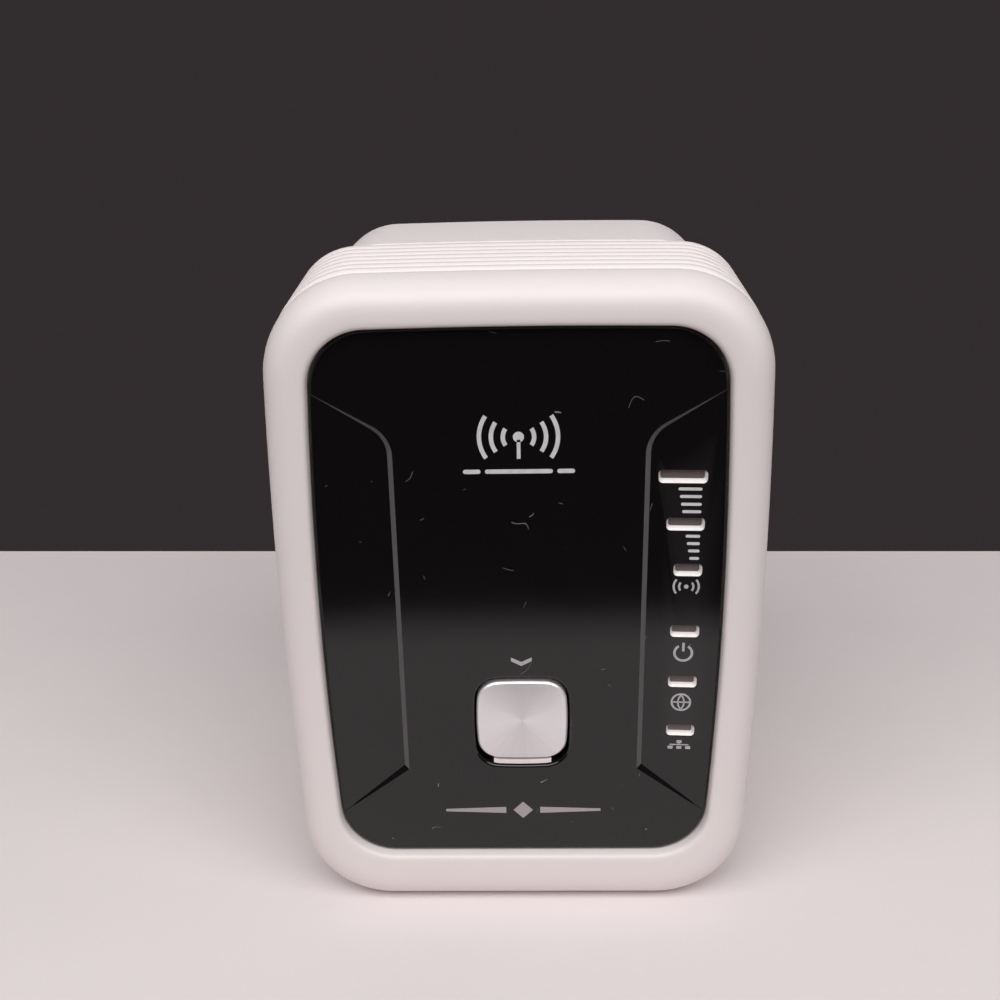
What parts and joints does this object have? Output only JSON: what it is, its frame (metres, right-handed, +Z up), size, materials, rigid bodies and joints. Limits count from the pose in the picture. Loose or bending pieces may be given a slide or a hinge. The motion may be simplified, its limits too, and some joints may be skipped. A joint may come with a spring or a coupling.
{
  "type": "wifi range extender",
  "caption": "Plug-in wireless range extender: white rounded housing, glossy black front with a square pairing button and indicator windows, two network sockets below, flat-blade plug behind.",
  "frame": {"origin": "centre of the bounding box's footprint, on the surface the extender stands on", "axes": "+Z up, along the front panel's height; +Y from the front panel towards the wall plug; +X to the right as seen from the front"},
  "size_m": [0.07, 0.073, 0.0982],
  "materials": {
    "white_shell": "fine satin texture",
    "black_panel": "mirror gloss with light dust and hairline scratches",
    "spun_metal": "spun concentric rings",
    "light_guide": "milky translucent",
    "circuit_board": "green solder mask",
    "black_component": "moulded epoxy",
    "steel": "bright tinned",
    "gold_contact": "gold plated",
    "nickel_blade": "nickel plated brass",
    "copper_foil": "bare copper alloy",
    "led_resin": "clear yellowish resin",
    "transformer_tape": "polyester tape",
    "capacitor_sleeve": "shrink sleeve",
    "grey_cable": "smooth sheath",
    "red_wire": "smooth sheath",
    "black_wire": "smooth sheath",
    "label_film": "matt polyester film"
  },
  "bodies": {
    "chassis": {"front_shell": "white_shell", "ribbed_housing": "white_shell", "rear_cover": "white_shell", "plug_insert": "white_shell", "front_panel": "black_panel", "light_guide": "light_guide", "main_board": "circuit_board", "power_board": "circuit_board", "wps_switch_body": "black_component", "processor": "black_component", "memory_chip": "black_component", "network_transformer": "black_component", "wan_jack": "black_component", "lan_jack": "black_component", "reset_switch_body": "black_component", "bridge_rectifier": "black_component", "mains_fuse": "black_component", "shield_can": "steel", "mode_switch_body": "steel", "power_switch_body": "steel", "screw_top_left": "steel", "screw_top_right": "steel", "screw_bottom_left": "steel", "screw_bottom_right": "steel", "wan_jack_contacts": "gold_contact", "lan_jack_contacts": "gold_contact", "plug_contact_left": "gold_contact", "plug_contact_right": "gold_contact", "plug_blade_left": "nickel_blade", "plug_blade_right": "nickel_blade", "antenna_left": "copper_foil", "antenna_right": "copper_foil", "led_lan": "led_resin", "led_wan": "led_resin", "led_power": "led_resin", "led_signal_low": "led_resin", "led_signal_mid": "led_resin", "led_signal_high": "led_resin", "power_transformer": "transformer_tape", "input_capacitor": "capacitor_sleeve", "output_capacitor": "capacitor_sleeve", "antenna_cable_left": "grey_cable", "antenna_cable_right": "grey_cable", "dc_wire_positive": "red_wire", "dc_wire_negative": "black_wire", "mains_wire_left": "black_wire", "mains_wire_right": "black_wire", "rating_label": "label_film"},
    "wps_button": {"wps_button_cap": "spun_metal", "wps_button_carrier": "white_shell"},
    "wps_plunger": {"wps_switch_plunger": "white_shell"},
    "reset_plunger": {"reset_switch_plunger": "white_shell"},
    "mode_knob": {"mode_switch_knob": "black_component"},
    "power_knob": {"power_switch_knob": "black_component"}
  },
  "joints": [
    {"name": "wps_button_press", "type": "slide", "parent": "chassis", "child": "wps_button", "axis": [0, 1, 0], "range_m": [0, 0.0005], "stiffness_N_per_m": 3000},
    {"name": "wps_plunger_press", "type": "slide", "parent": "chassis", "child": "wps_plunger", "axis": [0, 1, 0], "range_m": [0, 0.00025]},
    {"name": "reset_press", "type": "slide", "parent": "chassis", "child": "reset_plunger", "axis": [1, 0, 0], "range_m": [0, 0.0003], "stiffness_N_per_m": 2000},
    {"name": "mode_slide", "type": "slide", "parent": "chassis", "child": "mode_knob", "axis": [0, 0, 1], "range_m": [-0.002, 0.002]},
    {"name": "power_slide", "type": "slide", "parent": "chassis", "child": "power_knob", "axis": [0, 0, 1], "range_m": [-0.002, 0]}
  ],
  "couplings": [
    {"joint": "wps_plunger_press", "follows": "wps_button_press", "ratio": 0.5}
  ]
}
